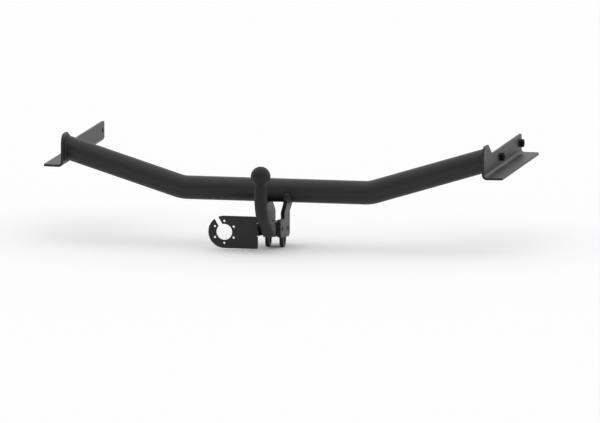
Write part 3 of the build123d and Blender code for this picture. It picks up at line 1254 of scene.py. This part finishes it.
@dataclass
class PlainWasher:
    """Stamped flat washer with a rolled over rim."""

    diameter: float = 24 * MM
    hole: float = 13 * MM
    thickness: float = 2.5 * MM
    rim: float = 0.35 * MM
    rim_angle: float = radians(60)
    sides: int = 72

    def build(self, name: str) -> bpy.types.Object:
        """Insets a disc's faces, bridges them through its hole and rounds the rims.

        Args:
            name: the new piece's name.

        Returns:
            The washer, which lies on Z = 0.
        """
        washer = start(
            bpy.ops.mesh.primitive_cylinder_add,
            name,
            vertices=self.sides,
            radius=self.diameter / 2,
            depth=self.thickness,
            location=UP * self.thickness / 2,
        )
        settle(washer)
        with editing(washer):
            pick(washer, Element.FACES, lambda face: abs(face.normal.z) > SQUARE_ON)
            bpy.ops.mesh.inset(thickness=(self.diameter - self.hole) / 2)
            bpy.ops.mesh.bridge_edge_loops()
            pick(
                washer,
                Element.EDGES,
                lambda edge: edge.calc_face_angle(0.0) > self.rim_angle,
            )
            bpy.ops.mesh.bevel(offset=self.rim, segments=3, clamp_overlap=False)
        face_outwards(washer)
        smooth(washer)
        return washer


@dataclass
class SpringWasher:
    """Split ring of square wire, closed flat under its bolt head."""

    diameter: float = 21 * MM
    hole: float = 12.3 * MM
    thickness: float = 3 * MM
    gap: float = 2 * MM
    rounding: float = 0.4 * MM
    step: float = radians(5)

    def build(self, name: str) -> bpy.types.Object:
        """Spins the wire's rounded section almost a full turn.

        Args:
            name: the new piece's name.

        Returns:
            The ring, which lies on Z = 0 with its split towards +X.
        """
        wire = (self.diameter - self.hole) / 2
        middle = (self.diameter + self.hole) / 4
        ring = start(
            bpy.ops.mesh.primitive_plane_add,
            name,
            size=1,
            location=(middle, 0, self.thickness / 2),
            rotation=(QUARTER_TURN, 0, 0),
        )
        ring.scale = (wire, self.thickness, 1)
        half_gap = self.gap / 2 / middle
        settle(ring)
        settle(ring, Matrix.Rotation(half_gap, 4, "Z"))
        sweep = FULL_TURN - 2 * half_gap
        with editing(ring):
            bpy.ops.mesh.select_all(action="SELECT")
            bpy.ops.mesh.bevel(
                offset=self.rounding, segments=2, affect="VERTICES", clamp_overlap=False
            )
            bpy.ops.mesh.select_all(action="SELECT")
            steps = round(sweep / self.step)
            bpy.ops.mesh.spin(steps=steps, angle=sweep, center=(0, 0, 0), axis=UP)
        face_outwards(ring)
        smooth(ring)
        return ring


@dataclass
class Crossbar:
    """Cross tube, its two end brackets with their weld nuts, and the beads that join them."""

    wardrobe: Wardrobe
    end_bead: float = 3.4 * MM

    def build(self) -> None:
        """Makes the tube first, then the right hand end and its mirror image."""
        tube = CrossTube()
        self.wardrobe.dress(tube.build(), Slot.TUBE, "crossbar_tube")
        bead = WeldBead(
            centre=Vector((tube.half_span, tube.axis_y, tube.leg_end_z)),
            tube_radius=tube.radius,
            lean=tube.leg_angle,
            up=UP,
            away=-RIGHT,
            leg=self.end_bead,
        ).build("right_end_bead")
        beads = {Side.RIGHT: bead, Side.LEFT: twin(bead, "left_end_bead", MIRRORED)}
        nut = WeldNut().build("nut_pattern")
        for side in Side:
            self.wardrobe.dress(beads[side], Slot.WELD, f"{side.word}_end_weld")
            bracket = CutPlate(f"{side.word}_end_bracket", f"{side.word}_bracket_plate").build()
            self.wardrobe.dress(bracket, Slot.PLATE, f"{side.word}_end_bracket")
            for place in Place:
                node = f"{side.word}_{place.value}_weld_nut"
                seat = box_centre(node)
                seat.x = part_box(node)[0 if side is Side.RIGHT else 1].x
                stand = axes_at(seat, FORWARD, RIGHT * side.value)
                seated = twin(nut, f"{side.word}_{place.value}_nut", stand)
                self.wardrobe.dress(seated, Slot.FASTENER, node)
        bpy.data.objects.remove(nut)


@dataclass
class Coupling:
    """Ball neck bolted between two cheek plates, with the socket plate under the heads.

    Each cheek's arm leans outwards above its bend, which is cheek_bend_drop under the
    tube's axis. Its middle is half way through its thickness, below the bend.
    """

    wardrobe: Wardrobe
    cheek_lean: float = radians(18.5)
    cheek_thickness: float = 10 * MM
    cheek_middle: float = 18.5 * MM
    cheek_bend_drop: float = 58 * MM
    saddle_bead: float = 4 * MM
    saddle_stop: float = radians(17.2)

    def build(self) -> None:
        """Makes the neck, the cheeks with their beads, the socket plate and the bolts."""
        self.wardrobe.dress(SwanNeck().build(), Slot.FORGING, "ball_neck")
        self.wardrobe.dress(
            CutPlate("socket_plate", "socket_bracket", edge_break=0.4 * MM).build(),
            Slot.PLATE,
            "socket_plate",
        )
        for side in Side:
            cheek = CutPlate(
                f"{side.word}_cheek_plate",
                f"{side.word}_cheek",
                edge_break=0.8 * MM,
                smallest_step=0.3 * MM,
            )
            self.wardrobe.dress(cheek.build(), Slot.PLATE, f"{side.word}_cheek_plate")
        self.lay_saddle_beads()
        self.fit_bolts()

    def lay_saddle_beads(self) -> None:
        """Lays a bead on both faces of each cheek, under the tube."""
        tube_low, tube_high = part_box("crossbar_tube")
        radius = (tube_high.y - tube_low.y) / 2
        lean = self.cheek_lean
        centre = Vector(
            (
                self.cheek_middle + self.cheek_bend_drop * tan(lean),
                (tube_low.y + tube_high.y) / 2,
                tube_low.z + radius,
            )
        )
        for face, sign in (("outer", 1), ("inner", -1)):
            bead = WeldBead(
                centre=centre + RIGHT * sign * self.cheek_thickness / 2 / cos(lean),
                tube_radius=radius,
                lean=lean,
                up=Vector((sin(lean), 0, cos(lean))),
                away=Vector((cos(lean), 0, -sin(lean))) * sign,
                leg=self.saddle_bead,
                stop_short=self.saddle_stop,
            ).build(f"right_{face}_saddle_bead")
            beads = {Side.RIGHT: bead, Side.LEFT: twin(bead, f"left_{face}_saddle_bead", MIRRORED)}
            for side, laid in beads.items():
                self.wardrobe.dress(laid, Slot.WELD, f"{side.word}_cheek_{face}_weld")

    def fit_bolts(self) -> None:
        """Fits a bolt, a spring washer and a plain washer in each of the two holes."""
        patterns = {
            "neck_bolt": NeckBolt().build("hex_bolt"),
            "spring_washer": SpringWasher().build("split_ring"),
            "plain_washer": PlainWasher().build("flat_washer"),
        }
        under_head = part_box("rear_spring_washer")[0].x
        for place in Place:
            for kind, pattern in patterns.items():
                node = f"{place.value}_{kind}"
                seat = box_centre(f"{place.value}_plain_washer")
                seat.x = under_head if kind == "neck_bolt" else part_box(node)[1].x
                stand = axes_at(seat, FORWARD, -RIGHT)
                fitted = twin(pattern, f"{place.value}_{pattern.name}", stand)
                self.wardrobe.dress(fitted, Slot.FASTENER, node)
        for pattern in patterns.values():
            bpy.data.objects.remove(pattern)


@dataclass
class Studio:
    """White sweep, soft light and the camera that stands where the photograph was taken.

    The camera is so far away that its view is almost parallel. The anchor is the middle of
    the tube's axis, and it lands on the anchor's column and row of the picture.
    """

    floor_z: float
    floor_size: float = 60.0
    # The camera sees the floor white, and the object is lit by it as by grey paper.
    floor_white: float = 1.15
    floor_paper: float = 0.35
    # Share of the white that gloss rays see, so that the coat's undersides stay dark.
    floor_sheen: float = 0.66
    azimuth: float = radians(12.1985)
    elevation: float = radians(8.4015)
    distance: float = 48.0
    picture_width: int = 600
    picture_height: int = 423
    pixels_per_metre: float = 395.5
    anchor: Vector = field(default_factory=lambda: Vector((0, 0.189, -0.0615)))
    anchor_column: float = 276.592
    anchor_row: float = 189.963
    sensor_width: float = 36.0
    # The tent's light rises from its front level to its back level along this direction,
    # between these cosines of the angle to it.
    bright_side: tuple[float, float, float] = (0.13, 0.62, 0.77)
    front_level: float = 0.33
    front_cosine: float = -0.7
    back_level: float = 1.0
    back_cosine: float = 0.9

    def aim_camera(self) -> None:
        """Adds the camera, so that the anchor point lands on its place in the picture."""
        turn, rise = self.azimuth, self.elevation
        right = Vector((cos(turn), sin(turn), 0))
        back = Vector((sin(turn) * cos(rise), -cos(turn) * cos(rise), sin(rise)))
        up = back.cross(right)
        across = (self.picture_width / 2 - self.anchor_column) / self.pixels_per_metre
        down = (self.picture_height / 2 - self.anchor_row) / self.pixels_per_metre
        eye = self.anchor + right * across - up * down + back * self.distance
        data = bpy.data.cameras.new("camera")
        data.sensor_width = self.sensor_width
        focal_pixels = self.pixels_per_metre * self.distance
        data.lens = focal_pixels * self.sensor_width / self.picture_width
        data.clip_start, data.clip_end = 1.0, 4 * self.distance
        camera = bpy.data.objects.new("camera", data)
        camera.matrix_world = axes_at(eye, right, back)
        bpy.context.collection.objects.link(camera)
        bpy.context.scene.camera = camera

    def lay_floor(self) -> None:
        """Lays the white floor under the object."""
        floor = start(
            bpy.ops.mesh.primitive_plane_add,
            "studio_floor",
            size=self.floor_size,
            location=(0, 0, self.floor_z),
        )
        settle(floor)
        material, tree = new_material("white_paper")
        rays = add_node(tree, "ShaderNodeLightPath").outputs
        glossy = {0: rays["Is Glossy Ray"], 1: self.floor_sheen}
        mirrored = add_node(tree, "ShaderNodeMath", glossy, operation="MULTIPLY").outputs[0]
        white_share = rays["Is Camera Ray"]
        for other in (mirrored, rays["Is Transmission Ray"]):
            both = {0: white_share, 1: other}
            white_share = add_node(tree, "ShaderNodeMath", both, operation="MAXIMUM").outputs[0]
        paper, white = (
            add_node(tree, "ShaderNodeBsdfDiffuse", {"Color": (level, level, level, 1)}).outputs[0]
            for level in (self.floor_paper, self.floor_white)
        )
        blended = {0: white_share, 1: paper, 2: white}
        surface = add_node(tree, "ShaderNodeMixShader", blended).outputs["Shader"]
        add_node(tree, "ShaderNodeOutputMaterial", {"Surface": surface})
        floor.data.materials.append(material)
        floor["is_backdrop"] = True

    def light(self) -> None:
        """Makes the world a soft tent, white behind and above and dim on the camera's side."""
        world = bpy.data.worlds.new("studio")
        bpy.context.scene.world = world
        world.use_nodes = True
        tree = world.node_tree
        tree.nodes.clear()
        direction = add_node(tree, "ShaderNodeTexCoord").outputs["Generated"]
        slope = add_node(
            tree,
            "ShaderNodeVectorMath",
            {0: direction, 1: self.bright_side},
            operation="DOT_PRODUCT",
        ).outputs["Value"]
        level = add_node(
            tree,
            "ShaderNodeMapRange",
            {
                "Value": slope,
                "From Min": self.front_cosine,
                "From Max": self.back_cosine,
                "To Min": self.front_level,
                "To Max": self.back_level,
            },
            interpolation_type="SMOOTHSTEP",
        ).outputs["Result"]
        seen = add_node(tree, "ShaderNodeLightPath").outputs["Is Camera Ray"]
        levels = {MIX_SHARE: seen, MIX_FLOAT_A: level, MIX_FLOAT_B: 1.0}
        strength = add_node(tree, "ShaderNodeMix", levels).outputs[MIXED_FLOAT]
        glow = {"Color": (1, 1, 1, 1), "Strength": strength}
        background = add_node(tree, "ShaderNodeBackground", glow).outputs["Background"]
        add_node(tree, "ShaderNodeOutputWorld", {"Surface": background})


def main() -> None:
    """Builds the towbar's looks in order and sets the studio round it."""
    logging.basicConfig(level=logging.INFO, format="%(message)s")
    cad_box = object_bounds()
    wardrobe = Wardrobe()
    Crossbar(wardrobe).build()
    Coupling(wardrobe).build()
    studio = Studio(floor_z=cad_box[0].z)
    studio.lay_floor()
    studio.light()
    studio.aim_camera()
    bpy.context.scene.view_settings.view_transform = "Standard"


if __name__ == "__main__":
    main()
